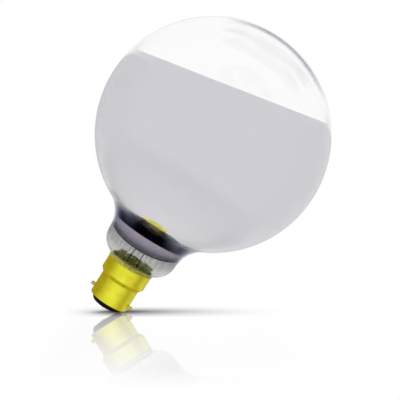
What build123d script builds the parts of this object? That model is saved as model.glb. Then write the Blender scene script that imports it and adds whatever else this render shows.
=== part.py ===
# Half mirrored globe lamp with a two-pin bayonet cap.
# The lamp axis is Z, with the globe's crown up. The origin is where the axis of the two
# bayonet pins crosses the lamp axis, and the pins lie along X. Sizes are in millimetres.

import os
from math import atan2, cos, degrees, radians, sin, sqrt

from build123d import *

# Glass envelope: a blown globe that runs through a flare and a narrow neck into a round bowl,
# and ends in a straight collar that sits inside the cap
globe_diameter = 125.0
glass_wall = 0.7
flare_radius = 18.5
neck_diameter = 41.5
neck_straight = 0.1
bowl_radius = 11.2
collar_diameter = 23.2
collar_fillet = 2.0
collar_depth = 6.4

# Mirror film on the inside of the glass, from a foot in the flare above the neck up to an edge
# above the globe's equator. Neither is square to the lamp axis: each is cut along a plane that
# rises towards a bearing, and the rises are those on the lamp axis, the foot's above the neck
# and the edge's above the globe's centre
film_thickness = 0.2
film_gap = 0.05
film_foot_rise = 5.0
film_foot_tilt = 12.0
film_foot_bearing = 95.0
film_edge_rise = 27.97
film_edge_tilt = 11.56
film_edge_bearing = -4.7

# Cap shell: pressed brass sheet, with a wide skirt that steps down to the bayonet barrel. The
# skirt clears the glass collar by the ring of cement between them
shell_diameter = 22.0
shell_wall = 0.35
cement_gap = 0.9
skirt_height = 8.1
step_height = 2.1
rim_height = 19.7
rim_lip = 0.3
collar_seat = 0.66
skirt_fillet = 1.0
step_fillet = 0.8
shell_end_drop = 4.2
shell_corner = 1.4
end_lip = 1.1

# Bayonet pins, with a thin tail through the shell into the insulator
pin_diameter = 2.0
pin_reach = 2.3
pin_chamfer = 0.25
pin_tail_diameter = 1.5
pin_tail_depth = 1.0

# Insulator in the end of the shell, and the two contacts in its foot
insulator_top = 4.0
insulator_drop = 6.3
insulator_foot_diameter = 14.8
contact_spacing = 8.0
contact_length = 6.4
contact_width = 4.2
contact_thickness = 0.6
contact_stand = 0.15
solder_diameter = 3.4
solder_flat_diameter = 2.2
solder_height = 0.4

# Glass stem: a trumpet sealed into the collar, a tube, and a flat press around the wires
stem_bearing = 12.0
stem_wall = 0.9
stem_tube_diameter = 12.0
stem_tube_length = 19.0
press_taper = 6.0
press_width = 15.0
press_thickness = 5.2
press_flat = 4.4
press_height = 9.0
stem_cavity_rise = 3.2
stem_cavity_top_diameter = 6.4

# Exhaust tube inside the stem, tipped off above the insulator
exhaust_diameter = 4.0
exhaust_wall = 0.7
exhaust_tip_clearance = 1.5
exhaust_port_diameter = 2.0
exhaust_port_rise = 2.5

# Wires, glass rod and filament
wire_diameter = 0.5
wire_clearance = 0.1
wire_spacing = 4.8
outer_wire_spread = 6.2
outer_wire_bend = 2.5
inner_wire_foot = 5.0
inner_wire_bend = 6.0
inner_wire_top = 8.0
rod_diameter = 3.0
rod_length = 34.0
button_diameter = 5.2
support_count = 3
support_diameter = 0.3
support_embed = 1.2
filament_diameter = 0.7
filament_radius = 15.0
filament_rise = 0.0
filament_bend = 3.0
loop_clearance = 0.1
clamp_length = 1.8
clamp_size = 1.5

# Radii that several pieces share
globe_radius = globe_diameter / 2
neck_radius = neck_diameter / 2
collar_radius = collar_diameter / 2
collar_bore = collar_radius - glass_wall
shell_radius = shell_diameter / 2
shell_bore = shell_radius - shell_wall
skirt_bore = collar_radius + cement_gap
skirt_radius = skirt_bore + shell_wall
end_opening_radius = shell_radius - shell_corner - end_lip
pin_tip = shell_radius + pin_reach
wire_radius = wire_diameter / 2
tube_radius = stem_tube_diameter / 2

# Centres of the arcs of the glass, from the collar up: each arc is tangent to its neighbours
collar_top = rim_height - collar_seat
collar_end = collar_top - collar_depth
fillet_across = collar_radius + collar_fillet
bowl_across = neck_radius - bowl_radius
bowl_height = collar_top + sqrt((bowl_radius + collar_fillet) ** 2 - (fillet_across - bowl_across) ** 2)
flare_across = neck_radius + flare_radius
flare_height = bowl_height + neck_straight
globe_height = flare_height + sqrt((globe_radius + flare_radius) ** 2 - flare_across**2)
globe_to_flare = degrees(atan2(flare_height - globe_height, flare_across))
bowl_to_fillet = degrees(atan2(collar_top - bowl_height, fillet_across - bowl_across))

# Heights in the stem, from its rim up to the filament
rim_top = collar_end + stem_wall
trumpet_radius = collar_bore - tube_radius
tube_foot = rim_top + trumpet_radius
tube_top = tube_foot + stem_tube_length
cavity_top = tube_top + stem_cavity_rise
press_foot = tube_top + press_taper
press_top = press_foot + press_height
button_height = press_top + rod_length
filament_height = globe_height + filament_rise

# Heights in the foot of the cap
insulator_foot = -insulator_drop
contact_face = insulator_foot - contact_stand
solder_face = contact_face - solder_height

across_stem = Vector(cos(radians(stem_bearing)), sin(radians(stem_bearing)), 0)


def globe_and_flare(inset):
    """Adds the line of the globe and the flare, at a depth inside the outer glass, and returns its foot."""
    CenterArc((0, globe_height), globe_radius - inset, 90, globe_to_flare - 90)
    CenterArc((flare_across, flare_height), flare_radius + inset, 180 + globe_to_flare, -globe_to_flare)
    return (neck_radius - inset, flare_height)


def neck_and_collar(inset):
    """Adds the line of the neck, the bowl and the collar, and returns its foot."""
    Line((neck_radius - inset, flare_height), (neck_radius - inset, bowl_height))
    CenterArc((bowl_across, bowl_height), bowl_radius - inset, 0, bowl_to_fillet)
    CenterArc((fillet_across, collar_top), collar_fillet + inset, 180 + bowl_to_fillet, -bowl_to_fillet)
    Line((collar_radius - inset, collar_top), (collar_radius - inset, collar_end))
    return (collar_radius - inset, collar_end)


def around_stem(radius, bearing, height):
    """A point at a bearing from the stem's wide direction."""
    angle = radians(stem_bearing + bearing)
    return Vector(radius * cos(angle), radius * sin(angle), height)


def slanting(height, tilt, bearing):
    """A plane through a height on the lamp axis that rises by a tilt towards a bearing."""
    lean, turn = radians(tilt), radians(bearing)
    return Plane(origin=(0, 0, height), z_dir=(-sin(lean) * cos(turn), -sin(lean) * sin(turn), cos(lean)))


def save(piece, name):
    piece.part.label = name
    export_step(piece.part, f"parts/{name}.step")


os.makedirs("parts", exist_ok=True)

# Glass envelope, blown in one piece
with BuildPart() as glass_envelope:
    with BuildSketch(Plane.XZ):
        with BuildLine():
            globe_and_flare(0)
            outer_foot = neck_and_collar(0)
            globe_and_flare(glass_wall)
            inner_foot = neck_and_collar(glass_wall)
            Line(outer_foot, inner_foot)
            Line((0, globe_height + globe_radius), (0, globe_height + globe_radius - glass_wall))
        make_face()
    revolve(axis=Axis.Z)
save(glass_envelope, "glass_envelope")

# Mirror film, cut off along its slanting foot and edge
film_face = glass_wall + film_gap
film_back = film_face + film_thickness
film_foot_plane = slanting(flare_height + film_foot_rise, film_foot_tilt, film_foot_bearing)
film_edge_plane = slanting(globe_height + film_edge_rise, film_edge_tilt, film_edge_bearing)
with BuildPart() as mirror_film:
    with BuildSketch(Plane.XZ):
        with BuildLine():
            film_foot = globe_and_flare(film_face)
            film_back_foot = globe_and_flare(film_back)
            Line(film_foot, film_back_foot)
            Line((0, globe_height + globe_radius - film_face), (0, globe_height + globe_radius - film_back))
        make_face()
    revolve(axis=Axis.Z)
    split(bisect_by=film_foot_plane, keep=Keep.TOP)
    split(bisect_by=film_edge_plane, keep=Keep.BOTTOM)
save(mirror_film, "mirror_film")

# Stem: trumpet and tube turned about the axis, then the press, drawn out to an oval and
# flattened on both sides
stem_plane = Plane(origin=(0, 0, 0), x_dir=across_stem, z_dir=(0, 0, 1))
with BuildPart() as stem_flare:
    with BuildSketch(Plane.XZ):
        with BuildLine():
            Line((0, rim_top - stem_wall), (collar_bore, rim_top - stem_wall))
            Line((collar_bore, rim_top - stem_wall), (collar_bore, rim_top))
            CenterArc((collar_bore, tube_foot), trumpet_radius, 270, -90)
            Line((tube_radius, tube_foot), (tube_radius, tube_top))
            Line((tube_radius, tube_top), (0, tube_top))
            Line((0, tube_top), (0, rim_top - stem_wall))
        make_face()
    revolve(axis=Axis.Z)
    with BuildSketch(stem_plane.offset(tube_top)):
        Circle(tube_radius)
    with BuildSketch(stem_plane.offset(press_foot)):
        Ellipse(press_width / 2, press_thickness / 2)
    loft()
    with BuildSketch(stem_plane.offset(press_foot)):
        Ellipse(press_width / 2, press_thickness / 2)
        Rectangle(press_width, press_flat, mode=Mode.INTERSECT)
    extrude(amount=press_height)
    with BuildSketch(Plane.XZ):
        with BuildLine():
            Line((0, rim_top - stem_wall), (collar_bore, rim_top - stem_wall))
            CenterArc((collar_bore, tube_foot), trumpet_radius + stem_wall, 270, -90)
            Line((tube_radius - stem_wall, tube_foot), (tube_radius - stem_wall, tube_top))
            Line((tube_radius - stem_wall, tube_top), (stem_cavity_top_diameter / 2, cavity_top))
            Line((stem_cavity_top_diameter / 2, cavity_top), (0, cavity_top))
            Line((0, cavity_top), (0, rim_top - stem_wall))
        make_face()
    revolve(axis=Axis.Z, mode=Mode.SUBTRACT)
    with BuildSketch(stem_plane.offset(cavity_top)):
        with GridLocations(wire_spacing, 1, 2, 1):
            Circle(wire_radius)
    extrude(amount=press_top - cavity_top, mode=Mode.SUBTRACT)
    with BuildSketch(stem_plane.offset(cavity_top)):
        Circle(exhaust_diameter / 2 - exhaust_wall)
    extrude(amount=exhaust_port_rise, mode=Mode.SUBTRACT)
    port_height = cavity_top + exhaust_port_rise
    with BuildSketch(Plane(origin=(0, 0, port_height), x_dir=across_stem, z_dir=across_stem.rotate(Axis.Z, 90))):
        Circle(exhaust_port_diameter / 2)
    extrude(amount=tube_radius, mode=Mode.SUBTRACT)
save(stem_flare, "stem_flare")

# Exhaust tube, open at the press and melted shut to a point at its lower end
exhaust_radius = exhaust_diameter / 2
exhaust_bore = exhaust_radius - exhaust_wall
exhaust_tip = insulator_top + exhaust_tip_clearance
with BuildPart() as exhaust_tube:
    with BuildSketch(Plane.XZ):
        with BuildLine():
            Line((exhaust_bore, cavity_top), (exhaust_radius, cavity_top))
            Line((exhaust_radius, cavity_top), (exhaust_radius, exhaust_tip + exhaust_diameter))
            Line((exhaust_radius, exhaust_tip + exhaust_diameter), (exhaust_wall / 2, exhaust_tip))
            Line((exhaust_wall / 2, exhaust_tip), (0, exhaust_tip))
            Line((0, exhaust_tip), (0, exhaust_tip + exhaust_diameter))
            Line((0, exhaust_tip + exhaust_diameter), (exhaust_bore, exhaust_tip + 1.5 * exhaust_diameter))
            Line((exhaust_bore, exhaust_tip + 1.5 * exhaust_diameter), (exhaust_bore, cavity_top))
        make_face()
    revolve(axis=Axis.Z)
save(exhaust_tube, "exhaust_tube")

# Wires on each side of the stem: copper below the press, a seal wire through it, nickel above
filament_step = 180 / (support_count + 1)
chord_turn = 90 + filament_step / 2
for side, half_turn, contact_side in (("front", 180, -1), ("back", 0, 1)):
    contact_point = Vector(0, contact_side * contact_spacing / 2, contact_face)
    contact_bearing = 90 * contact_side - stem_bearing
    with BuildPart() as outer_wire:
        with BuildLine() as outer_route:
            FilletPolyline(
                around_stem(wire_spacing / 2, half_turn, cavity_top),
                around_stem(wire_spacing / 2, half_turn, tube_top),
                around_stem(outer_wire_spread / 2, half_turn, tube_foot),
                around_stem(contact_spacing / 2, (half_turn % 360 + contact_bearing % 360) / 2, rim_top),
                Vector(contact_point.X, contact_point.Y, insulator_top + wire_spacing / 2),
                contact_point,
                radius=outer_wire_bend,
            )
        with BuildSketch(Plane(origin=outer_route.wire() @ 0, z_dir=outer_route.wire() % 0)):
            Circle(wire_radius)
        sweep()
    save(outer_wire, f"outer_wire_{side}")

    with BuildPart() as seal_wire:
        with BuildSketch(Plane(origin=around_stem(wire_spacing / 2, half_turn, cavity_top))):
            Circle(wire_radius)
        extrude(amount=press_top - cavity_top)
    save(seal_wire, f"seal_wire_{side}")

    clamp_centre = around_stem(filament_radius, half_turn, filament_height)
    clamp_foot = filament_height - clamp_size / 2
    clamp_along = around_stem(1, half_turn + (chord_turn if half_turn == 0 else -chord_turn), 0)
    with BuildPart() as inner_wire:
        with BuildLine() as inner_route:
            FilletPolyline(
                around_stem(wire_spacing / 2, half_turn, press_top),
                around_stem(wire_spacing / 2, half_turn, press_top + inner_wire_foot),
                around_stem(filament_radius, half_turn, clamp_foot - inner_wire_top),
                around_stem(filament_radius, half_turn, clamp_foot),
                radius=inner_wire_bend,
            )
        with BuildSketch(Plane(origin=inner_route.wire() @ 0, z_dir=inner_route.wire() % 0)):
            Circle(wire_radius)
        sweep()
        with BuildSketch(Plane(origin=clamp_centre, x_dir=(0, 0, 1), z_dir=clamp_along)):
            RectangleRounded(clamp_size, clamp_size, clamp_size / 4)
            Circle(filament_diameter / 2, mode=Mode.SUBTRACT)
        extrude(amount=clamp_length / 2, both=True)
    save(inner_wire, f"inner_wire_{side}")

# Glass rod on the press, with a button at its top that holds the support wires
loop_radius = (filament_diameter + support_diameter) / 2 + loop_clearance
corner_inset = filament_bend * (1 / cos(radians(filament_step / 2)) - 1)
loop_across = filament_radius - corner_inset
support_slope = Vector(loop_across, 0, filament_height - button_height)
support_length = support_slope.length
support_planes = []
for place in range(1, support_count + 1):
    outward = around_stem(loop_across, place * filament_step, filament_height - button_height)
    support_planes.append(
        Plane(
            origin=(0, 0, button_height),
            x_dir=around_stem(1, place * filament_step - 90, 0),
            z_dir=outward.normalized(),
        )
    )
button_radius = button_diameter / 2
rod_radius = rod_diameter / 2
with BuildPart() as support_rod:
    with BuildSketch(Plane.XZ):
        with BuildLine():
            button_start = degrees(atan2(-sqrt(button_radius**2 - rod_radius**2), rod_radius))
            Line((0, press_top), (rod_radius, press_top))
            Line((rod_radius, press_top), (rod_radius, button_height + button_radius * sin(radians(button_start))))
            CenterArc((0, button_height), button_radius, button_start, 90 - button_start)
            Line((0, button_height + button_radius), (0, press_top))
        make_face()
    revolve(axis=Axis.Z)
    for support_plane in support_planes:
        with BuildSketch(support_plane.offset(button_radius - support_embed)):
            Circle(support_diameter / 2)
        extrude(amount=button_radius, mode=Mode.SUBTRACT)
save(support_rod, "support_rod")

# Support wires, each with a loop round the filament
for place, support_plane in enumerate(support_planes, start=1):
    with BuildPart() as support_wire:
        with BuildSketch(support_plane.offset(button_radius - support_embed)):
            Circle(support_diameter / 2)
        extrude(amount=support_length - loop_radius - button_radius + support_embed)
        loop_plane = Plane(
            origin=support_plane.offset(support_length).origin,
            x_dir=support_plane.z_dir,
            z_dir=support_plane.x_dir,
        )
        with Locations(loop_plane):
            Torus(loop_radius, support_diameter / 2)
    save(support_wire, f"support_wire_{place}")

# Filament: a coil of tungsten wire, drawn as its outer tube, from one clamp to the other
# through the loops of the supports
first_clamp = around_stem(filament_radius, 0, filament_height)
last_clamp = around_stem(filament_radius, 180, filament_height)
with BuildPart() as filament:
    with BuildLine() as filament_route:
        FilletPolyline(
            first_clamp - around_stem(clamp_length / 2, chord_turn, 0),
            *[around_stem(filament_radius, n * filament_step, filament_height) for n in range(1, support_count + 1)],
            last_clamp - around_stem(clamp_length / 2, 180 - chord_turn, 0),
            radius=filament_bend,
        )
    with BuildSketch(Plane(origin=filament_route.wire() @ 0, z_dir=filament_route.wire() % 0)):
        Circle(filament_diameter / 2)
    sweep()
save(filament, "filament")

# Capping cement between the collar and the skirt
with BuildPart() as capping_cement:
    with BuildSketch(Plane.XZ):
        with BuildLine():
            Polyline(
                (collar_radius, collar_end),
                (skirt_bore, collar_end),
                (skirt_bore, collar_top),
                (collar_radius, collar_top),
                close=True,
            )
        make_face()
    revolve(axis=Axis.Z)
save(capping_cement, "capping_cement")

# Cap shell, drawn as the outer line of the sheet and given its thickness inwards
skirt_foot = rim_height - skirt_height
step_foot = skirt_foot - step_height
with BuildPart() as cap_shell:
    with BuildSketch(Plane.XZ):
        with BuildLine():
            FilletPolyline(
                (skirt_radius + rim_lip, rim_height),
                (skirt_radius, rim_height - rim_lip),
                (skirt_radius, skirt_foot),
                (shell_radius, step_foot),
                (shell_radius, -shell_end_drop),
                (end_opening_radius, -shell_end_drop),
                radius=[rim_lip, skirt_fillet, step_fillet, shell_corner],
            )
            offset(amount=shell_wall, side=Side.RIGHT)
        make_face()
    revolve(axis=Axis.Z)
    with BuildSketch(Plane.YZ):
        Circle(pin_tail_diameter / 2)
    extrude(amount=shell_diameter, both=True, mode=Mode.SUBTRACT)
save(cap_shell, "cap_shell")

# Bayonet pins: a stud that seats on the barrel, and a tail through its wall
for side, turn in (("right", 0), ("left", 180)):
    with BuildPart() as bayonet_pin:
        with BuildSketch(Plane.YZ):
            Circle(pin_diameter / 2)
        extrude(amount=pin_tip)
        chamfer(bayonet_pin.faces().sort_by(Axis.X)[-1].edges(), pin_chamfer)
        Cylinder(shell_radius, 2 * pin_diameter, mode=Mode.SUBTRACT)
        with BuildSketch(Plane.YZ.offset(shell_bore - pin_tail_depth)):
            Circle(pin_tail_diameter / 2)
        extrude(amount=pin_tail_depth + 2 * shell_wall)
    bayonet_pin.part.locate(Location((0, 0, 0), (0, 0, turn)))
    save(bayonet_pin, f"bayonet_pin_{side}")

# Insulator: black glass that fills the end of the shell and stands out of its opening
with BuildPart() as cap_insulator:
    with BuildSketch(Plane.XZ):
        with BuildLine():
            corner_height = shell_corner - shell_end_drop
            corner_across = shell_radius - shell_corner
            inner_corner = shell_corner - shell_wall
            Line((0, insulator_top), (shell_bore, insulator_top))
            Line((shell_bore, insulator_top), (shell_bore, corner_height))
            CenterArc((corner_across, corner_height), inner_corner, 0, -90)
            Line((corner_across, corner_height - inner_corner), (end_opening_radius, corner_height - inner_corner))
            Line((end_opening_radius, corner_height - inner_corner), (end_opening_radius, -shell_end_drop))
            Line((end_opening_radius, -shell_end_drop), (insulator_foot_diameter / 2, insulator_foot))
            Line((insulator_foot_diameter / 2, insulator_foot), (0, insulator_foot))
            Line((0, insulator_foot), (0, insulator_top))
        make_face()
    revolve(axis=Axis.Z)
    with BuildSketch(Plane.YZ):
        Circle(pin_tail_diameter / 2)
    extrude(amount=shell_diameter, both=True, mode=Mode.SUBTRACT)
    with BuildSketch(Plane.XY.offset(insulator_foot)):
        with GridLocations(1, contact_spacing, 1, 2):
            SlotOverall(contact_length, contact_width)
    extrude(amount=contact_thickness - contact_stand, mode=Mode.SUBTRACT)
    with BuildSketch(Plane.XY.offset(insulator_foot)):
        with GridLocations(1, contact_spacing, 1, 2):
            Circle(wire_radius + wire_clearance)
    extrude(amount=insulator_top - insulator_foot, mode=Mode.SUBTRACT)
save(cap_insulator, "cap_insulator")

# Contact plates in the insulator's foot, and the solder over each wire's end
for side, contact_side in (("front", -1), ("back", 1)):
    contact_plane = Plane(origin=(0, contact_side * contact_spacing / 2, contact_face))
    with BuildPart() as contact_plate:
        with BuildSketch(contact_plane):
            SlotOverall(contact_length, contact_width)
            Circle(wire_radius, mode=Mode.SUBTRACT)
        extrude(amount=contact_thickness)
    save(contact_plate, f"contact_plate_{side}")

    with BuildPart() as contact_solder:
        with BuildSketch(contact_plane):
            Circle(solder_diameter / 2)
        with BuildSketch(contact_plane.offset(-solder_height)):
            Circle(solder_flat_diameter / 2)
        loft()
    save(contact_solder, f"contact_solder_{side}")
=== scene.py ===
import math

import bmesh
import bpy
from mathutils import Matrix, Vector


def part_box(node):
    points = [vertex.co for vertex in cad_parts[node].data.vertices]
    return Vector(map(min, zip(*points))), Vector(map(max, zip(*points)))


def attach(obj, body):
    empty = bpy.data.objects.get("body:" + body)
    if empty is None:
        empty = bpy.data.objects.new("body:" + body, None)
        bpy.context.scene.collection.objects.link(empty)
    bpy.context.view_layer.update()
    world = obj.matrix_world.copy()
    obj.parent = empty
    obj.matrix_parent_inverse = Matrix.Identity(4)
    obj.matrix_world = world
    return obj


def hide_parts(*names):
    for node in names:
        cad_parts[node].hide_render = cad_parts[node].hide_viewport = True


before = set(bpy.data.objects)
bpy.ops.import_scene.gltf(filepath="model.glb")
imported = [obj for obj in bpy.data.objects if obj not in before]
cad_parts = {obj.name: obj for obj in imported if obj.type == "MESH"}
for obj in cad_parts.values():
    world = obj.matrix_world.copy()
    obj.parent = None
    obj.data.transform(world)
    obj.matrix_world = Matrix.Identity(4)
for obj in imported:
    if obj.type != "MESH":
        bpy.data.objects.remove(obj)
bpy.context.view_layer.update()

# Stem: a tube of clear glass, flared like a trumpet at its foot, where it is melted into the
# collar of the bulb, and pressed flat at its top around the two wires. Inside the cap its foot is
# painted olive and opaque, a painted reflection of the brass and cement around it.
mm = 0.001
stem_low, stem_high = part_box("stem_flare")
stem_bearing = math.radians(12)
stem_wall = 0.9 * mm
stem_tube_radius = 6.0 * mm
stem_collar_radius = stem_high.x
trumpet_radius = stem_collar_radius - stem_tube_radius
tube_foot = stem_low.z + stem_wall + trumpet_radius
press_half_width = 7.5 * mm
press_half_thickness = 2.2 * mm
press_height = 9.0 * mm
press_taper = 6.0 * mm
press_edge = 0.6 * mm
press_top = stem_high.z
tube_top = press_top - press_height - press_taper
taper_steps = 10
cavity_rise = 3.2 * mm
cavity_top = tube_top + cavity_rise
cavity_top_radius = 3.2 * mm
# The stem's painted olive reflection inside the cap, and where it gives way to clear glass.
olive_top = 14 * mm
clear_foot = 17 * mm
painted_olive_reflection = (0.75, 0.84, 0.28)
clear_tint = (0.984, 0.984, 0.984)
drawn_lengthwise = (1, 1, 0.03)


def arc(across, height, radius, start, end, steps):
    """Points (radius from the axis, height) along an arc, from one angle to another in degrees."""
    points = []
    for step in range(steps + 1):
        angle = math.radians(start + (end - start) * step / steps)
        points.append((across + radius * math.cos(angle), height + radius * math.sin(angle)))
    return points


def piece_from(name, mesh, material):
    """Puts a mesh in the scene as a smooth piece of one material, with its faces turned outwards."""
    weld = 0.0005 * mm
    sharp_from = math.radians(35)
    shape = bmesh.new()
    shape.from_mesh(mesh)
    bmesh.ops.remove_doubles(shape, verts=shape.verts, dist=weld)
    bmesh.ops.dissolve_degenerate(shape, edges=shape.edges, dist=weld)
    bmesh.ops.recalc_face_normals(shape, faces=shape.faces)
    shape.to_mesh(mesh)
    shape.free()
    for face in mesh.polygons:
        face.use_smooth = True
    mesh.set_sharp_from_angle(angle=sharp_from)
    mesh.materials.clear()
    mesh.materials.append(material)
    piece = bpy.data.objects.new(name, mesh)
    bpy.context.scene.collection.objects.link(piece)
    return piece


def turned(name, outline, material, sides):
    """Turns a closed outline about the lamp axis. The outline may be a function of the angle."""
    corners, faces = [], []
    for side in range(sides):
        angle = 2 * math.pi * side / sides
        column = outline(angle) if callable(outline) else outline
        for radius, height in column:
            corners.append((radius * math.cos(angle), radius * math.sin(angle), height))
    count = len(column)
    for side in range(sides):
        here, there = side * count, (side + 1) % sides * count
        for k in range(count):
            n = (k + 1) % count
            faces.append((here + k, there + k, there + n, here + n))
    mesh = bpy.data.meshes.new(name)
    mesh.from_pydata(corners, [], faces)
    return piece_from(name, mesh, material)


def new_material(name):
    """A material, its node tree and its shader."""
    material = bpy.data.materials.new(name)
    material.use_nodes = True
    return material, material.node_tree, material.node_tree.nodes["Principled BSDF"]


def own_place(tree):
    """The place of a point on the piece, in Object coordinates."""
    return tree.nodes.new("ShaderNodeTexCoord").outputs["Object"]


def paired(tree, operation, first, second, result="Vector"):
    """The result of an operation on two vectors. The second may be fixed."""
    node = tree.nodes.new("ShaderNodeVectorMath")
    node.operation = operation
    tree.links.new(first, node.inputs[0])
    if isinstance(second, bpy.types.NodeSocket):
        tree.links.new(second, node.inputs[1])
    else:
        node.inputs[1].default_value = second
    return node.outputs[result]


def along(tree, place, vector):
    """How far a place or a direction lies along a vector."""
    return paired(tree, "DOT_PRODUCT", place, vector, "Value")


def height_over(tree, slope=0, bearing=0):
    """Height of a place over a plane through the origin that rises towards a bearing."""
    return along(tree, own_place(tree), (-slope * math.cos(bearing), -slope * math.sin(bearing), 1))


def spread(tree, value, low, high, out_low=0, out_high=1):
    """Maps a value from one range to another, held inside it."""
    fit = tree.nodes.new("ShaderNodeMapRange")
    fit.inputs["From Min"].default_value = low
    fit.inputs["From Max"].default_value = high
    fit.inputs["To Min"].default_value = out_low
    fit.inputs["To Max"].default_value = out_high
    tree.links.new(value, fit.inputs["Value"])
    return fit.outputs["Result"]


def mixed(tree, share, first, second):
    """A colour between two others. Each is a colour or a socket."""
    node = tree.nodes.new("ShaderNodeMix")
    node.data_type = "RGBA"
    tree.links.new(share, node.inputs["Factor"])
    for socket, colour in ((node.inputs[6], first), (node.inputs[7], second)):
        if isinstance(colour, tuple):
            socket.default_value = (*colour, 1)
        else:
            tree.links.new(colour, socket)
    return node.outputs[2]


def noise(tree, scale, detail=3.0, stretch=(1, 1, 1)):
    """A noise pattern on Object coordinates, stretched along the axes."""
    mapping = tree.nodes.new("ShaderNodeMapping")
    mapping.inputs["Scale"].default_value = stretch
    pattern = tree.nodes.new("ShaderNodeTexNoise")
    pattern.inputs["Scale"].default_value = scale
    pattern.inputs["Detail"].default_value = detail
    tree.links.new(own_place(tree), mapping.inputs["Vector"])
    tree.links.new(mapping.outputs["Vector"], pattern.inputs["Vector"])
    return pattern.outputs["Fac"]


def bump(tree, shader, value, distance):
    """Lets a pattern raise the surface by a distance."""
    relief = tree.nodes.new("ShaderNodeBump")
    relief.inputs["Strength"].default_value = 1
    relief.inputs["Distance"].default_value = distance
    tree.links.new(value, relief.inputs["Height"])
    tree.links.new(relief.outputs["Normal"], shader.inputs["Normal"])


def glass_finish(name, ior, wave_scale, wave_height, stretch=(1, 1, 1)):
    """Clear glass with the slight waves of drawn or blown glass."""
    material, tree, shader = new_material(name)
    shader.inputs["Base Color"].default_value = (*clear_tint, 1)
    shader.inputs["Transmission Weight"].default_value = 1
    shader.inputs["IOR"].default_value = ior
    shader.inputs["Roughness"].default_value = 0
    bump(tree, shader, noise(tree, wave_scale, detail=1.0, stretch=stretch), wave_height)
    return material, tree, shader


def oval_radius(angle, half_width, half_thickness):
    """Radius of an oval across the stem, at an angle about the lamp axis."""
    across = math.cos(angle - stem_bearing) / half_width
    through = math.sin(angle - stem_bearing) / half_thickness
    return 1 / math.hypot(across, through)


def stem_outline(angle):
    """Outline of the stem: up the outside to the press, and down the cavity inside the tube."""
    points = [(stem_collar_radius, stem_low.z)]
    points += arc(stem_collar_radius, tube_foot, trumpet_radius, 270, 180, 16)
    for step in range(taper_steps + 1):
        share = step / taper_steps
        ease = share * share * (3 - 2 * share)
        half_width = stem_tube_radius + (press_half_width - stem_tube_radius) * ease
        half_thickness = stem_tube_radius + (press_half_thickness - stem_tube_radius) * ease
        points.append((oval_radius(angle, half_width, half_thickness), tube_top + press_taper * share))
    side = oval_radius(angle, press_half_width, press_half_thickness)
    for width, drop in ((1, 1), (0.96, 0.25), (0.85, 0)):
        points.append((side * width, press_top - press_edge * drop))
    points += [(0, press_top), (0, cavity_top), (cavity_top_radius, cavity_top)]
    points += [(stem_tube_radius - stem_wall, tube_top), (stem_tube_radius - stem_wall, tube_foot)]
    points += arc(stem_collar_radius, tube_foot, trumpet_radius + stem_wall, 180, 270, 16)[1:-1]
    return points


stem_glass, tree, shader = glass_finish(
    "stem_glass", ior=1.06, wave_scale=700, wave_height=0.05 * mm, stretch=drawn_lengthwise
)
# Painted reflection: below the clear part the stem's foot is olive and opaque, standing in for the brass
# and cement it mirrors.
clearness = spread(tree, height_over(tree), olive_top, clear_foot)
tree.links.new(clearness, shader.inputs["Transmission Weight"])
tree.links.new(mixed(tree, clearness, painted_olive_reflection, clear_tint), shader.inputs["Base Color"])
stem = turned("stem", stem_outline, stem_glass, sides=96)
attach(stem, "root")
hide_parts("stem_flare")

# Exhaust tube: the thin glass tube through which the bulb was pumped out. It hangs from the
# press inside the stem and was melted shut to a point.
tube_low, tube_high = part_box("exhaust_tube")
exhaust_radius = tube_high.x
exhaust_wall = 0.7 * mm
exhaust_bore = exhaust_radius - exhaust_wall
tip_length = 4.0 * mm
exhaust_outline = [(exhaust_bore, tube_high.z), (exhaust_radius, tube_high.z)]
for width, rise in ((1, 1), (0.8, 0.6), (0.35, 0.2), (0.2, 0)):
    exhaust_outline.append((exhaust_radius * width, tube_low.z + tip_length * rise))
exhaust_outline += [(0, tube_low.z), (0, tube_low.z + tip_length)]
exhaust_outline.append((exhaust_bore, tube_low.z + 1.5 * tip_length))
exhaust = turned("exhaust", exhaust_outline, stem_glass, sides=64)
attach(exhaust, "root")
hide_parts("exhaust_tube")

# Wires: copper below the press and through it, where it is sealed in the glass, and stiff
# nickel above it, bent out to the filament and folded over its ends.
wire_finishes = {
    "copper": ((0.1, 0.06, 0.045), 0.35, ("outer", "seal")),
    "nickel": ((0.5, 0.49, 0.46), 0.28, ("inner",)),
}


def wire_finish(name, colour, roughness):
    """Drawn wire: fine dull and bright patches on bare metal."""
    material, tree, shader = new_material(name)
    shader.inputs["Metallic"].default_value = 1
    patches = noise(tree, 900, detail=4.0)
    dull_colour = tuple(0.6 * c for c in colour)
    dull_roughness = roughness + 0.15
    bright = spread(tree, patches, 0.3, 0.7)
    tree.links.new(mixed(tree, bright, dull_colour, colour), shader.inputs["Base Color"])
    patchy = spread(tree, patches, 0.3, 0.7, dull_roughness, roughness)
    tree.links.new(patchy, shader.inputs["Roughness"])
    return material


def dress(node, material):
    """Gives a CAD node a new finish."""
    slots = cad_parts[node].data.materials
    slots.clear()
    slots.append(material)


for metal, (colour, roughness, stretches) in wire_finishes.items():
    wire_metal = wire_finish(f"{metal}_wire", colour, roughness)
    for stretch in stretches:
        for side in ("front", "back"):
            dress(f"{stretch}_wire_{side}", wire_metal)

# Rod: a solid glass cane on top of the press, with a round button melted at its end, in which
# the molybdenum wires that carry the filament are set.
rod_low, rod_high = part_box("support_rod")
rod_radius = 1.5 * mm
button_radius = rod_high.x
button_height = rod_high.z - button_radius
button_start = -math.degrees(math.acos(rod_radius / button_radius))
rod_outline = [(0, rod_low.z), (rod_radius, rod_low.z)]
rod_outline += arc(0, button_height, button_radius, button_start, 90, 20)
rod = turned("rod", rod_outline, stem_glass, sides=64)
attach(rod, "root")
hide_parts("support_rod")
support_metal = wire_finish("support_wire", (0.36, 0.36, 0.38), roughness=0.35)
for place in (1, 2, 3):
    dress(f"support_wire_{place}", support_metal)

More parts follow.
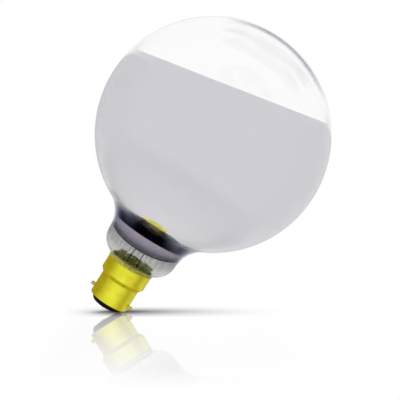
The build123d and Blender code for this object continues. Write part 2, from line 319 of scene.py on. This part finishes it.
# Filament: fine tungsten wire wound into a long coil, which runs from one clamp to the other
# through the loops of the support wires.
filament_low, filament_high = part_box("filament")
filament_height = (filament_low.z + filament_high.z) / 2
filament_radius = 15.0 * mm
filament_bend = 3.0 * mm
filament_spans = 4
clamp_half = 0.9 * mm
coil_radius = 0.29 * mm
coil_wire_radius = 0.055 * mm
coil_turns = 150
coil_steps = 14


def filament_route():
    """The filament's corners: a clamp at each end and a support at every eighth of a turn between."""
    corners = []
    for place in range(filament_spans + 1):
        angle = stem_bearing + place * math.pi / filament_spans
        corners.append(Vector((math.cos(angle), math.sin(angle), 0)) * filament_radius)
    for end, beside in ((0, 1), (-1, -2)):
        corners[end] -= (corners[beside] - corners[end]).normalized() * clamp_half
    return [corner + Vector((0, 0, filament_height)) for corner in corners]


coil_line = bpy.data.curves.new("filament_line", "CURVE")
coil_line.dimensions = "3D"
line = coil_line.splines.new("POLY")
line.points.add(filament_spans)
for point, corner in zip(line.points, filament_route()):
    point.co = (*corner, 1)
filament = bpy.data.objects.new("filament_coil", coil_line)
bpy.context.scene.collection.objects.link(filament)


def reckoned(tree, operation, first, second=0.0):
    """The result of a sum on two values, which may be numbers or sockets."""
    node = tree.nodes.new("ShaderNodeMath")
    node.operation = operation
    for socket, value in zip(node.inputs, (first, second)):
        if isinstance(value, (int, float)):
            socket.default_value = value
        else:
            tree.links.new(value, socket)
    return node.outputs["Value"]


def combined(tree, operation, values):
    """One value from several, taken in turn."""
    result = values[0]
    for value in values[1:]:
        result = reckoned(tree, operation, result, value)
    return result


def scaled(tree, vector, factor):
    """A vector made longer or shorter."""
    node = tree.nodes.new("ShaderNodeVectorMath")
    node.operation = "SCALE"
    tree.links.new(vector, node.inputs[0])
    tree.links.new(factor, node.inputs["Scale"])
    return node.outputs["Vector"]


def coil_tree():
    """Geometry Nodes that wind a wire round a line with rounded corners."""
    tree = bpy.data.node_groups.new("coil_round_a_line", "GeometryNodeTree")
    nodes, links = tree.nodes, tree.links
    for label, kind in (
        ("Line", "NodeSocketGeometry"),
        ("Corner Radius", "NodeSocketFloat"),
        ("Turns", "NodeSocketFloat"),
        ("Points", "NodeSocketInt"),
        ("Coil Radius", "NodeSocketFloat"),
        ("Wire Radius", "NodeSocketFloat"),
        ("Metal", "NodeSocketMaterial"),
    ):
        tree.interface.new_socket(label, in_out="INPUT", socket_type=kind)
    tree.interface.new_socket("Coil", in_out="OUTPUT", socket_type="NodeSocketGeometry")
    given = nodes.new("NodeGroupInput").outputs
    result = nodes.new("NodeGroupOutput")

    corners = nodes.new("GeometryNodeFilletCurve")
    corners.mode = "POLY"
    corners.inputs["Count"].default_value = 8
    links.new(given["Line"], corners.inputs["Curve"])
    links.new(given["Corner Radius"], corners.inputs["Radius"])
    evenly = nodes.new("GeometryNodeResampleCurve")
    links.new(corners.outputs["Curve"], evenly.inputs["Curve"])
    links.new(given["Points"], evenly.inputs["Count"])

    share = nodes.new("GeometryNodeSplineParameter").outputs["Factor"]
    turn = combined(tree, "MULTIPLY", [share, given["Turns"], 2 * math.pi])
    tangent = nodes.new("GeometryNodeInputTangent").outputs["Tangent"]
    normal = nodes.new("GeometryNodeInputNormal").outputs["Normal"]
    sideways = paired(tree, "CROSS_PRODUCT", tangent, normal)
    out_share = reckoned(tree, "MULTIPLY", reckoned(tree, "COSINE", turn), given["Coil Radius"])
    side_share = reckoned(tree, "MULTIPLY", reckoned(tree, "SINE", turn), given["Coil Radius"])
    offset = paired(tree, "ADD", scaled(tree, normal, out_share), scaled(tree, sideways, side_share))
    wound = nodes.new("GeometryNodeSetPosition")
    links.new(evenly.outputs["Curve"], wound.inputs["Geometry"])
    links.new(offset, wound.inputs["Offset"])

    round_wire = nodes.new("GeometryNodeCurvePrimitiveCircle")
    round_wire.inputs["Resolution"].default_value = 6
    links.new(given["Wire Radius"], round_wire.inputs["Radius"])
    wire = nodes.new("GeometryNodeCurveToMesh")
    wire.inputs["Fill Caps"].default_value = True
    links.new(wound.outputs["Geometry"], wire.inputs["Curve"])
    links.new(round_wire.outputs["Curve"], wire.inputs["Profile Curve"])
    whole = nodes.new("GeometryNodeRealizeInstances")
    links.new(wire.outputs["Mesh"], whole.inputs["Geometry"])
    finish = nodes.new("GeometryNodeSetMaterial")
    links.new(whole.outputs["Geometry"], finish.inputs["Geometry"])
    links.new(given["Metal"], finish.inputs["Material"])
    links.new(finish.outputs["Geometry"], result.inputs["Coil"])
    return tree


def grown(name, source, tree, values):
    """Runs a node tree on an object and returns the result as a plain mesh."""
    modifier = source.modifiers.new("tree", "NODES")
    modifier.node_group = tree
    sockets = {item.name: item.identifier for item in tree.interface.items_tree if item.in_out == "INPUT"}
    for label, value in values.items():
        modifier[sockets[label]] = value
    depsgraph = bpy.context.evaluated_depsgraph_get()
    mesh = bpy.data.meshes.new_from_object(source.evaluated_get(depsgraph), depsgraph=depsgraph)
    mesh.name = name
    bpy.data.objects.remove(source)
    return mesh


tungsten = wire_finish("tungsten", (0.2, 0.2, 0.21), roughness=0.4)
coil_mesh = grown("coil", filament, coil_tree(), {
    "Corner Radius": filament_bend,
    "Turns": float(coil_turns),
    "Points": coil_turns * coil_steps,
    "Coil Radius": coil_radius,
    "Wire Radius": coil_wire_radius,
    "Metal": tungsten,
})
coil = piece_from("coil", coil_mesh, tungsten)
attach(coil, "root")
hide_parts("filament")

# Mirror film: silver laid down on the inside of the glass, from a slanting foot above the neck up
# to a slanting edge above the equator. Near the neck it thins out into a lilac foot, and its colour
# there holds painted reflections: a dark ring, and a golden glint of the cap at the front.
glass_low, glass_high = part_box("glass_envelope")
globe_radius = glass_high.x
globe_height = glass_high.z - globe_radius
glass_wall = 0.7 * mm
flare_radius = 18.5 * mm
neck_radius = 20.75 * mm
flare_across = neck_radius + flare_radius
flare_drop = math.sqrt((globe_radius + flare_radius) ** 2 - flare_across**2)
flare_height = globe_height - flare_drop
globe_to_flare = math.degrees(math.atan2(-flare_drop, flare_across))
film_gap = 0.05 * mm
film_thickness = 0.2 * mm
film_face = glass_wall + film_gap
film_back = film_face + film_thickness
film_foot_rise = 5.0 * mm
film_foot_height = flare_height + film_foot_rise
film_foot_slope = math.tan(math.radians(12))
film_foot_bearing = math.radians(95)
film_edge_rise = 27.97 * mm
film_edge_slope = math.tan(math.radians(11.56))
film_edge_bearing = math.radians(-4.7)
foot_backward = (math.cos(film_foot_bearing), math.sin(film_foot_bearing), 0)
foot_across = (math.sin(film_foot_bearing), -math.cos(film_foot_bearing), 0)
ring_middle = 2.5 * mm
glint_middle = 3.5 * mm
# Painted reflection colours in the neck: the black of the dark ring, the gold of the cap's glint, and the
# paler right end of the ring.
painted_black_reflection = (0, 0, 0.002)
painted_glint_gold = (0.95, 0.82, 0.3)
paler_right_reflection = (0.14, 0.145, 0.17)
inner_silver = (0.985, 0.985, 0.985)
# Tints painted on the film's grazing reflections in the neck.
painted_gold_sheen = (0.32, 0.22, 0.06)
painted_blue_sheen = (0.3, 0.32, 0.45)
white = (1, 1, 1)


def film_line(angle, inset):
    """The film at one angle, from its slanting foot to its slanting edge, at a depth in the glass."""
    radius, flare = globe_radius - inset, flare_radius + inset
    climb = film_edge_slope * math.cos(angle - film_edge_bearing)
    edge = math.asin(film_edge_rise / radius / math.hypot(1, climb)) + math.atan(climb)
    climb = film_foot_slope * math.cos(angle - film_foot_bearing)
    rise = film_foot_height - flare_height + climb * flare_across
    foot = math.asin(rise / flare / math.hypot(1, climb)) - math.atan(climb)
    points = arc(flare_across, flare_height, flare, 180 - math.degrees(foot), 180 + globe_to_flare, 24)
    return points + arc(0, globe_height, radius, globe_to_flare, math.degrees(edge), 72)[1:]


def film_outline(angle):
    """The film at one angle, up its outer face and down its inner one."""
    return film_line(angle, film_face) + film_line(angle, film_back)[::-1]


def banded(tree, value, bands):
    """Colours along a value, each given with the value where it stands."""
    ramp = tree.nodes.new("ShaderNodeValToRGB")
    low, high = bands[0][0], bands[-1][0]
    while len(ramp.color_ramp.elements) < len(bands):
        ramp.color_ramp.elements.new(1)
    for element, (place, colour) in zip(ramp.color_ramp.elements, bands):
        element.position = (place - low) / (high - low)
        element.color = (*colour, 1)
    tree.links.new(spread(tree, value, low, high), ramp.inputs["Fac"])
    return ramp.outputs["Color"]


def away_from(tree, value, middle):
    """How far a value lies from a middle, to either side."""
    return reckoned(tree, "ABSOLUTE", reckoned(tree, "SUBTRACT", value, middle))


def film_finish():
    """Silver film: grey on the globe, lighter towards the neck as painted brightening, with painted
    reflections in rings in the neck.
    """
    material, tree, shader = new_material("silver_film")
    shader.inputs["Metallic"].default_value = 1
    shader.inputs["Roughness"].default_value = 0.06
    place, height = own_place(tree), height_over(tree)
    across = along(tree, place, foot_across)
    backward = along(tree, place, foot_backward)
    beside_ring = away_from(tree, across, ring_middle)
    beside_glint = away_from(tree, across, glint_middle)

    # The globe's grey outside, lighter towards the neck as painted brightening against the darker
    # reflections there, and bright silver on the face that looks inwards.
    grey = banded(tree, height, [
        (52.0 * mm, (0.78, 0.765, 0.8)),
        (64.0 * mm, (0.69, 0.68, 0.72)),
        (82.0 * mm, (0.64, 0.63, 0.672)),
    ])
    from_centre = paired(tree, "SUBTRACT", place, (0, 0, globe_height))
    facing = tree.nodes.new("ShaderNodeNewGeometry").outputs["True Normal"]
    outer_face = spread(tree, along(tree, from_centre, facing), -1 * mm, 1 * mm)
    grey = mixed(tree, outer_face, inner_silver, grey)

    # The thin foot of the film, from a dark line to lilac.
    lilac = banded(tree, height_over(tree, film_foot_slope, film_foot_bearing), [
        (film_foot_height + 0.0 * mm, (0.2, 0.19, 0.22)),
        (film_foot_height + 0.8 * mm, (0.05, 0.047, 0.056)),
        (film_foot_height + 2.2 * mm, (0.065, 0.06, 0.073)),
        (film_foot_height + 3.6 * mm, (0.185, 0.17, 0.205)),
        (film_foot_height + 5.0 * mm, (0.265, 0.24, 0.295)),
        (film_foot_height + 7.5 * mm, (0.33, 0.285, 0.355)),
    ])

    # The height that the dark ring of painted reflection goes by. It lifts the ring's top at the front
    # and at both ends, and lets it dip under the painted glint.
    ring_height = combined(tree, "ADD", [
        height,
        reckoned(tree, "MULTIPLY", reckoned(tree, "MINIMUM", backward, -12 * mm), 0.22),
        spread(tree, across, -25 * mm, -15 * mm, -4 * mm, 0),
        spread(tree, across, 19 * mm, 26 * mm, 0, -1.5 * mm),
        spread(tree, beside_glint, 2.5 * mm, 5 * mm, 0.6 * mm, -0.6 * mm),
        spread(tree, beside_glint, 6.5 * mm, 9 * mm, 0, 0.6 * mm),
    ])

    # The middle of the ring: a painted black reflection, with a painted glint of gold on its top at the
    # front.
    black = mixed(tree, spread(tree, ring_height, 42.0 * mm, 43.6 * mm), painted_black_reflection, grey)
    gold = banded(tree, ring_height, [
        (42.0 * mm, painted_black_reflection),
        (42.7 * mm, (0.1, 0.065, 0.005)),
        (43.3 * mm, painted_glint_gold),
    ])
    gold = mixed(tree, spread(tree, ring_height, 43.3 * mm, 44.5 * mm), gold, grey)
    no_glint = combined(tree, "MAXIMUM", [
        spread(tree, beside_glint, 6 * mm, 8.5 * mm),
        spread(tree, backward, -10 * mm, -4 * mm),
        reckoned(tree, "SUBTRACT", 1, outer_face),
    ])
    middle = mixed(tree, no_glint, gold, black)

    # The ends of the ring: a painted dark reflection that thins out upwards, and is paler on the right.
    fading_dark_reflection = banded(tree, ring_height, [
        (37.5 * mm, (0.02, 0.021, 0.026)),
        (39.3 * mm, (0.052, 0.054, 0.066)),
        (40.9 * mm, (0.11, 0.113, 0.13)),
        (42.3 * mm, (0.25, 0.25, 0.27)),
    ])
    fading_dark_reflection = mixed(tree, spread(tree, across, 15 * mm, 22 * mm, 0, 0.8), fading_dark_reflection, paler_right_reflection)
    ends = mixed(tree, spread(tree, ring_height, 42.3 * mm, 44.2 * mm), fading_dark_reflection, grey)

    ring = mixed(tree, spread(tree, beside_ring, 7 * mm, 14 * mm), middle, ends)
    above_lilac = spread(tree, height, 40.5 * mm, 40.9 * mm)
    tree.links.new(mixed(tree, above_lilac, lilac, ring), shader.inputs["Base Color"])
    # Painted reflection tints: the film's grazing reflections are brown near the glint, blue elsewhere in
    # the neck, and white above it.
    sheen = mixed(tree, spread(tree, beside_glint, 5 * mm, 8 * mm), painted_gold_sheen, painted_blue_sheen)
    above_ring = spread(tree, height, 46 * mm, 50 * mm)
    tree.links.new(mixed(tree, above_ring, sheen, white), shader.inputs["Specular Tint"])
    return material


film = turned("film", film_outline, film_finish(), sides=256)
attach(film, "root")
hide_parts("mirror_film")

# Glass bulb: blown in one piece, a globe that narrows through a flare into a neck, widens into a
# small round bowl and ends in the collar that the cap is cemented to. The bowl is streaked, and
# greyer towards the film as painted shade; its back just above the cap is painted olive and
# opaque, a painted reflection of the brass and cement in the cap.
bowl_radius = 11.2 * mm
bowl_across = neck_radius - bowl_radius
bowl_drop = 0.1 * mm
bowl_height = flare_height - bowl_drop
collar_radius = 11.6 * mm
collar_fillet = 2.0 * mm
fillet_across = collar_radius + collar_fillet
fillet_reach = bowl_radius + collar_fillet
collar_top = bowl_height - math.sqrt(fillet_reach**2 - (fillet_across - bowl_across) ** 2)
bowl_to_fillet = math.degrees(math.atan2(collar_top - bowl_height, fillet_across - bowl_across))
streak_tint = (0.9, 0.9, 0.88)
streak_fade = 8 * mm
# Where the back of the bowl carries a painted olive reflection of the cap.
cap_reflection_top = 21.5 * mm
cap_reflection_fade = 0.4 * mm
cap_reflection_olive = (0.6, 0.66, 0.2)


def glass_line(inset):
    """The glass from its crown to the end of its collar, at a depth inside the outer face."""
    points = arc(0, globe_height, globe_radius - inset, 90, globe_to_flare, 120)
    points += arc(flare_across, flare_height, flare_radius + inset, 180 + globe_to_flare, 180, 24)[1:]
    points += arc(bowl_across, bowl_height, bowl_radius - inset, 0, bowl_to_fillet, 24)
    points += arc(fillet_across, collar_top, collar_fillet + inset, 180 + bowl_to_fillet, 180, 8)[1:]
    return points + [(collar_radius - inset, glass_low.z)]


bulb_glass, tree, shader = glass_finish("bulb_glass", ior=1.3, wave_scale=35, wave_height=0.01 * mm)
place, height = own_place(tree), height_over(tree)
# Painted shade: the glass turns greyer towards the film's foot.
painted_grey_shade = banded(tree, height_over(tree, film_foot_slope, film_foot_bearing), [
    (film_foot_height - 17.0 * mm, (0.92, 0.92, 0.88)),
    (film_foot_height - 10.0 * mm, (0.78, 0.78, 0.77)),
    (film_foot_height - 7.0 * mm, (0.6, 0.6, 0.59)),
    (film_foot_height - 4.0 * mm, (0.41, 0.41, 0.405)),
    (film_foot_height - 1.7 * mm, (0.38, 0.38, 0.385)),
    (film_foot_height + 0.5 * mm, (0.31, 0.31, 0.32)),
    (film_foot_height + 0.9 * mm, clear_tint),
])
streaks = reckoned(
    tree, "MULTIPLY",
    spread(tree, noise(tree, 900, detail=2.0, stretch=drawn_lengthwise), 0.5, 0.7, 0, 0.35),
    spread(tree, height, flare_height, flare_height + streak_fade, 1, 0),
)
painted_grey_shade = mixed(tree, streaks, painted_grey_shade, streak_tint)
# Painted reflection: an olive, opaque patch on the back of the bowl just above the cap, for the brass and
# cement seen there.
painted_cap_reflection = combined(tree, "MULTIPLY", [
    spread(tree, height, cap_reflection_top, cap_reflection_top + cap_reflection_fade, 1, 0),
    spread(tree, along(tree, place, foot_backward), 2 * mm, 5 * mm),
    spread(tree, away_from(tree, along(tree, place, foot_across), 0), 10 * mm, 11.2 * mm, 1, 0),
])
tree.links.new(mixed(tree, painted_cap_reflection, painted_grey_shade, cap_reflection_olive), shader.inputs["Base Color"])
tree.links.new(reckoned(tree, "SUBTRACT", 1, painted_cap_reflection), shader.inputs["Transmission Weight"])
bulb = turned("bulb", glass_line(0) + glass_line(glass_wall)[::-1], bulb_glass, sides=224)
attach(bulb, "root")
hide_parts("glass_envelope")

# Cement: a baked ring of resin and filler between the collar and the cap's skirt. A little of it
# was squeezed out and stands between the rim of the cap and the glass as a yellow bead.
cement_low, cement_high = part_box("capping_cement")
cement_gap = 0.01 * mm
cement_face = collar_radius + cement_gap
bead_top = (12.72 * mm, 20.4 * mm)
bead_bulge = (12.84 * mm, 19.9 * mm)
bead_foot = (cement_high.x, 19.4 * mm)
cement, tree, shader = new_material("cement")
shader.inputs["Roughness"].default_value = 0.8
grain = noise(tree, 700, detail=5.0)
speckle = mixed(tree, spread(tree, grain, 0.35, 0.75), (0.4, 0.36, 0.06), (0.76, 0.71, 0.22))
tree.links.new(speckle, shader.inputs["Base Color"])
bump(tree, shader, grain, 0.03 * mm)
cement_line = [(cement_high.x, cement_low.z), (cement_face, cement_low.z)]
cement_line += arc(fillet_across, collar_top, fillet_across - cement_face, 180, 125, 6)
cement_line += [bead_top, bead_bulge, bead_foot]
bead = turned("cement_bead", cement_line[::-1], cement, sides=160)
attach(bead, "root")
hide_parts("capping_cement")

# Cap shell: brass sheet pressed into a skirt and a narrower barrel, with a small lip at its rim
# and its end curled in to hold the insulator.
shell_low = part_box("cap_shell")[0]
shell_wall = 0.35 * mm
skirt_radius = 12.85 * mm
rim_lip = 0.3 * mm
rim_height = 19.7 * mm
skirt_foot = 11.6 * mm
barrel_radius = 11.0 * mm
step_foot = 9.5 * mm
end_rise = 0.9 * mm
shell_end = shell_low.z + end_rise
end_opening = 9.1 * mm
skirt_rounding = 1.0 * mm
step_rounding = 0.8 * mm
curl_rounding = 0.6 * mm
turned_round = (0.15, 0.15, 12)


def rounded(corners, radii, steps=8):
    """Points along a line with its inner corners rounded to the given radii."""
    points = [Vector(corners[0])]
    for before, corner, after, radius in zip(corners, corners[1:], corners[2:], radii):
        corner = Vector(corner)
        to_before = (Vector(before) - corner).normalized()
        to_after = (Vector(after) - corner).normalized()
        half = to_before.angle(to_after) / 2
        start = corner + to_before * radius / math.tan(half)
        centre = corner + (to_before + to_after).normalized() * radius / math.sin(half)
        first, last = start - centre, corner + to_after * radius / math.tan(half) - centre
        turn = first.angle_signed(last)
        for step in range(steps + 1):
            points.append(centre + Matrix.Rotation(-turn * step / steps, 2) @ first)
    return points + [Vector(corners[-1])]


def thickened(points, wall):
    """A closed outline from a line and a wall on its right-hand side."""
    inner = []
    for k, point in enumerate(points):
        heading = points[min(k + 1, len(points) - 1)] - points[max(k - 1, 0)]
        heading.normalize()
        inner.append(point + Vector((heading.y, -heading.x)) * wall)
    return [tuple(p) for p in points] + [tuple(p) for p in reversed(inner)]


def brass_finish(name, colour, roughness):
    """Yellow brass with fine turning lines round the axis and a little tarnish."""
    material, tree, shader = new_material(name)
    shader.inputs["Metallic"].default_value = 1
    clean = spread(tree, noise(tree, 260, detail=4.0), 0.25, 0.6)
    tarnished = tuple(0.82 * c for c in colour)
    tree.links.new(mixed(tree, clean, tarnished, colour), shader.inputs["Base Color"])
    lines = noise(tree, 300, detail=2.0, stretch=turned_round)
    streaky = spread(tree, lines, 0.3, 0.7, roughness - 0.06, roughness + 0.06)
    tree.links.new(streaky, shader.inputs["Roughness"])
    bump(tree, shader, lines, 0.004 * mm)
    return material


shell_line = rounded(
    [
        (skirt_radius + rim_lip, rim_height),
        (skirt_radius, rim_height - rim_lip),
        (skirt_radius, skirt_foot),
        (barrel_radius, step_foot),
        (barrel_radius, shell_end),
        (end_opening, shell_end),
    ],
    [rim_lip, skirt_rounding, step_rounding, curl_rounding],
)
brass = brass_finish("cap_brass", (0.89, 0.865, 0.055), roughness=0.34)
cap = turned("cap", thickened(shell_line, shell_wall), brass, sides=160)
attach(cap, "root")
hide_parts("cap_shell")

# Bayonet pins: short turned brass studs, riveted through the barrel, that catch in the slots of
# the lamp holder.
pin_brass = brass_finish("pin_brass", (0.66, 0.6, 0.1), roughness=0.3)
pin_root = barrel_radius - shell_wall / 2
pin_edge = 0.3 * mm
for side, way in (("right", 1), ("left", -1)):
    pin_low, pin_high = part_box(f"bayonet_pin_{side}")
    pin_radius = pin_high.z
    pin_tip = pin_high.x if way > 0 else -pin_low.x
    pin_outline = [(0, pin_root), (pin_radius, pin_root), (pin_radius, pin_tip - pin_edge)]
    pin_outline += arc(pin_radius - pin_edge, pin_tip - pin_edge, pin_edge, 0, 90, 5)[1:]
    pin_outline.append((0, pin_tip))
    pin = turned(f"pin_{side}", pin_outline, pin_brass, sides=40)
    pin.data.transform(Matrix.Rotation(way * math.pi / 2, 4, "Y"))
    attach(pin, "root")
    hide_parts(f"bayonet_pin_{side}")

# Insulator: black glass poured into the end of the barrel, which keeps the two contacts apart.
# It swells out of the curled end with a well rounded edge.
insulator_low, insulator_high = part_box("cap_insulator")
seat_roundings = [0.3 * mm, 0.25 * mm, 0.1 * mm]
foot_rounding = 2.8 * mm
black_glass, tree, shader = new_material("black_glass")
shader.inputs["Base Color"].default_value = (0.004, 0.004, 0.006, 1)
shader.inputs["Specular IOR Level"].default_value = 0.05
ripple = noise(tree, 240)
tree.links.new(spread(tree, ripple, 0.3, 0.7, 0.16, 0.34), shader.inputs["Roughness"])
bump(tree, shader, ripple, 0.05 * mm)
insulator_line = rounded(
    [
        (0, insulator_high.z),
        (insulator_high.x, insulator_high.z),
        (insulator_high.x, shell_end + shell_wall),
        (end_opening, shell_end + shell_wall),
        (end_opening, insulator_low.z),
        (0, insulator_low.z),
    ],
    seat_roundings + [foot_rounding],
)
insulator = turned("insulator", [tuple(point) for point in insulator_line], black_glass, sides=128)
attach(insulator, "root")
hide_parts("cap_insulator")

# Contacts: a brass plate in the insulator for each wire, with the wire's end under a button of
# solder that was pressed flat while soft.
contact_brass = brass_finish("contact_brass", (0.7, 0.6, 0.2), roughness=0.38)
flat_radius = 1.1 * mm
solder, tree, shader = new_material("solder")
shader.inputs["Metallic"].default_value = 1
shader.inputs["Base Color"].default_value = (0.5, 0.5, 0.51, 1)
lumps = noise(tree, 1400)
tree.links.new(spread(tree, lumps, 0.3, 0.7, 0.3, 0.55), shader.inputs["Roughness"])
bump(tree, shader, lumps, 0.06 * mm)
for side in ("front", "back"):
    dress(f"contact_plate_{side}", contact_brass)
    drop_low, drop_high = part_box(f"contact_solder_{side}")
    drop_radius = (drop_high.x - drop_low.x) / 2
    drop_height = drop_high.z - drop_low.z
    drop_outline = [(0, drop_high.z)]
    for width, depth in ((1, 0), (0.97, 0.35), (0.86, 0.75)):
        drop_outline.append((drop_radius * width, drop_high.z - drop_height * depth))
    drop_outline += [(flat_radius, drop_low.z), (0, drop_low.z)]
    drop = turned(f"solder_{side}", drop_outline, solder, sides=48)
    drop.data.transform(Matrix.Translation((0, (drop_low.y + drop_high.y) / 2, 0)))
    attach(drop, "root")
    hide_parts(f"contact_solder_{side}")

# Camera: on the plane of the film's edge, so that the edge shows as a straight line, and turned
# so that the lamp leans to the right.
camera_bearing = math.radians(12)
camera_lean = math.radians(32.436)
camera_distance = 750 * mm
camera_rise = 72 * mm
aim_right = 12.574 * mm
aim_drop = 32.95 * mm
level_right = Vector((math.cos(camera_bearing), math.sin(camera_bearing), 0))
level_front = Vector((math.sin(camera_bearing), -math.cos(camera_bearing), 0))
axis_up = Vector((0, 0, 1))
camera_data = bpy.data.cameras.new("camera")
camera_data.lens = 128.13
camera_data.sensor_width = 36
camera_data.clip_start = 0.05
camera = bpy.data.objects.new("camera", camera_data)
bpy.context.scene.collection.objects.link(camera)
camera.location = level_front * camera_distance + axis_up * (globe_height + camera_rise)
aim = level_right * aim_right + axis_up * (globe_height - aim_drop)
aimed = (aim - camera.location).to_track_quat("-Z", "Y").to_matrix().to_4x4()
view = aimed @ Matrix.Rotation(camera_lean, 4, "Z")
camera.rotation_euler = view.to_euler()
bpy.context.scene.camera = camera
view_right, view_up, view_back = (view.col[k].to_3d() for k in range(3))

# Floor: a plain pale sheet under the end of the cap, seen almost edge on. It fades out into the
# white surround, carries a painted shadow, where ambient occlusion darkens its glow inside a window
# round the lamp's foot, and mirrors the lamp faintly close to where it stands.
floor_tilt = math.radians(2)
floor_left, floor_right = -90 * mm, 150 * mm
floor_far, floor_near = -160 * mm, 480 * mm
shadow_reach = 60 * mm
floor_up = view_up * math.cos(floor_tilt) + view_back * math.sin(floor_tilt)
floor_front = view_back * math.cos(floor_tilt) - view_up * math.sin(floor_tilt)
standing = [vertex.co for piece in (cap, insulator) for vertex in piece.data.vertices]
touch = min(standing, key=lambda corner: corner.dot(floor_up))
floor_corners = []
for right, front in (
    (floor_left, floor_far),
    (floor_left, floor_near),
    (floor_right, floor_near),
    (floor_right, floor_far),
):
    floor_corners.append(touch + view_right * right + floor_front * front)
floor_mesh = bpy.data.meshes.new("floor")
floor_mesh.from_pydata(floor_corners, [], [(0, 1, 2, 3)])
floor = bpy.data.objects.new("floor", floor_mesh)
bpy.context.scene.collection.objects.link(floor)
floor.visible_glossy = False
floor.visible_transmission = False


def blended(tree, share, first, second):
    """A shader between two others."""
    node = tree.nodes.new("ShaderNodeMixShader")
    tree.links.new(share, node.inputs["Fac"])
    tree.links.new(first, node.inputs[1])
    tree.links.new(second, node.inputs[2])
    return node.outputs["Shader"]


pale, tree, shader = new_material("pale_floor")
tree.nodes.remove(shader)
from_touch = paired(tree, "SUBTRACT", own_place(tree), touch)
rightward = along(tree, from_touch, view_right)
frontward = along(tree, from_touch, floor_front)
# Painted shadow: a window round the touch point, inside which ambient occlusion darkens the floor's glow
# and mirror.
painted_shadow_window = combined(tree, "MULTIPLY", [
    spread(tree, rightward, -31 * mm, -2 * mm),
    reckoned(tree, "POWER", spread(tree, rightward, 0, 100 * mm, 1, 0), 2),
    spread(tree, frontward, -32 * mm, -8 * mm),
    spread(tree, frontward, -2 * mm, 22 * mm, 1, 0),
])
covered = tree.nodes.new("ShaderNodeAmbientOcclusion")
covered.inputs["Distance"].default_value = shadow_reach
darkness = spread(tree, covered.outputs["AO"], 0.5, 1, 0.97, 0)
shade = reckoned(tree, "SUBTRACT", 1, reckoned(tree, "MULTIPLY", darkness, painted_shadow_window))
mirror_share = combined(tree, "MULTIPLY", [
    spread(tree, frontward, 0, 245 * mm, 0.65, 0),
    spread(tree, frontward, -14 * mm, -4 * mm),
    spread(tree, rightward, -28 * mm, -14 * mm),
    spread(tree, rightward, 70 * mm, 100 * mm, 1, 0),
])
clear = tree.nodes.new("ShaderNodeBsdfTransparent")
glow = tree.nodes.new("ShaderNodeEmission")
tree.links.new(shade, glow.inputs["Color"])
mirror = tree.nodes.new("ShaderNodeBsdfGlossy")
mirror.inputs["Roughness"].default_value = 0
tree.links.new(shade, mirror.inputs["Color"])
sheet = blended(tree, mirror_share, glow.outputs["Emission"], mirror.outputs["BSDF"])
underside = tree.nodes.new("ShaderNodeNewGeometry").outputs["Backfacing"]
sheet = blended(tree, underside, sheet, clear.outputs["BSDF"])
tree.links.new(sheet, tree.nodes["Material Output"].inputs["Surface"])
floor_mesh.materials.append(pale)

# Surround: a white studio. Brass sees a bright front and dimmer sides. Sharp reflections on the
# glass see grey sides, darkness towards the cap, and a strip of dark blue that draws the clear
# crown's edge. Light may bounce often, because it goes through many walls of glass.
world = bpy.data.worlds.new("studio")
bpy.context.scene.world = world
world.use_nodes = True
tree = world.node_tree
direction = tree.nodes.new("ShaderNodeTexCoord").outputs["Generated"]
light_path = tree.nodes.new("ShaderNodeLightPath").outputs
right_back = (0.85 * level_right - 0.53 * level_front).normalized()
crown_way = 0.349 * view_right + 0.937 * view_up
cap_way = -0.534 * view_right - 0.845 * view_up
crescent_way = 0.616 * view_right + 0.788 * view_up
onward = along(tree, direction, -view_back)
off_line = reckoned(tree, "SUBTRACT", 1, reckoned(tree, "MULTIPLY", onward, onward))
off_line = reckoned(tree, "SQRT", off_line)


def toward(vector, low, high):
    """A share that depends on how far a ray goes towards a direction."""
    return spread(tree, along(tree, direction, vector), low, high)


def at_rim(vector, low, high):
    """A share for rays that graze the rim of the globe, by where on the rim that is."""
    place = reckoned(tree, "DIVIDE", along(tree, direction, vector), off_line)
    return spread(tree, place, low, high)


def layered(colour, layers):
    """A colour with others laid over it in turn, each by its own share."""
    for share, over in layers:
        colour = mixed(tree, share, colour, over)
    return colour


brass_view = layered((0.45, 0.36, 0.11), [
    (toward(level_front, 0.15, 0.95), (0.97, 0.98, 1)),
    (toward(-axis_up, 0.5, 0.9), (0.5, 0.42, 0.15)),
    (toward(right_back, 0.75, 0.98), (0.75, 0.75, 0.7)),
])
crown_view = mixed(tree, spread(tree, onward, 0.92, 0.955), white, (0.82, 0.82, 0.83))
near_cap = reckoned(tree, "MULTIPLY", at_rim(cap_way, 0.87, 0.94), spread(tree, onward, 0.78, 0.86))
crescent = combined(tree, "MULTIPLY", [
    at_rim(crescent_way, 0.86, 0.98),
    spread(tree, onward, 0.77, 0.82),
    spread(tree, onward, 0.9, 0.94, 1, 0),
])
glass_view = layered((0.57, 0.565, 0.595), [
    (toward(level_right, -0.3, 0.5), (0.67, 0.67, 0.69)),
    (at_rim(crown_way, 0.455, 0.49), crown_view),
    (near_cap, (0.2, 0.215, 0.26)),
    (crescent, (0.03, 0.065, 0.16)),
    (toward(view_back, -0.2, 0.2), white),
    (toward(-axis_up, 0.5, 0.7), (0.02, 0.02, 0.03)),
    (spread(tree, onward, 0.975, 0.988), white),
])
reflected = mixed(tree, light_path["Is Singular Ray"], brass_view, glass_view)
through_glass = spread(tree, light_path["Transmission Depth"], 2, 3)
glossy = mixed(tree, through_glass, reflected, white)
seen = mixed(tree, light_path["Is Glossy Ray"], white, glossy)
tree.links.new(seen, tree.nodes["Background"].inputs["Color"])
# The rays find the surround by themselves, so that each kind of ray gets its own view of it.
world.cycles.sampling_method = "NONE"
bounces = bpy.context.scene.cycles
bounces.max_bounces = 24
bounces.glossy_bounces = 16
bounces.transmission_bounces = 16
bpy.context.scene.view_settings.view_transform = "Standard"
